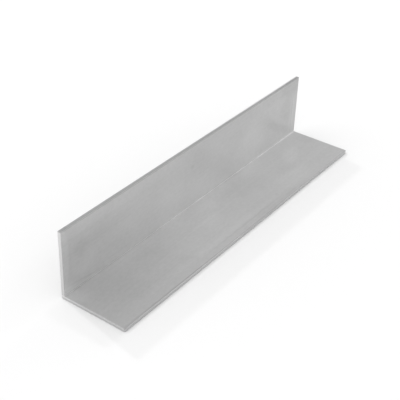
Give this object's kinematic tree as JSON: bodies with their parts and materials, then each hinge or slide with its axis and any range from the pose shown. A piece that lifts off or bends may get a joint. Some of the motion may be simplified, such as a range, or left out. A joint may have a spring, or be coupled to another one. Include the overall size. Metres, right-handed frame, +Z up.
{
  "type": "aluminium angle section",
  "caption": "Length of extruded aluminium equal angle, L-shaped in section, mill finish with square sawn ends, for framing, bracing, edging and brackets.",
  "frame": {"origin": "on the underside of the flat leg, under the middle of the piece", "axes": "+X from the back of the upright leg to the toe of the flat leg, +Y along the length, +Z up the upright leg"},
  "size_m": [0.04, 0.21, 0.04],
  "materials": {
    "mill_aluminium": "mill finish as extruded: matt grey with faint lines along the length"
  },
  "bodies": {
    "root": {"angle_bar": "mill_aluminium"}
  },
  "joints": []
}
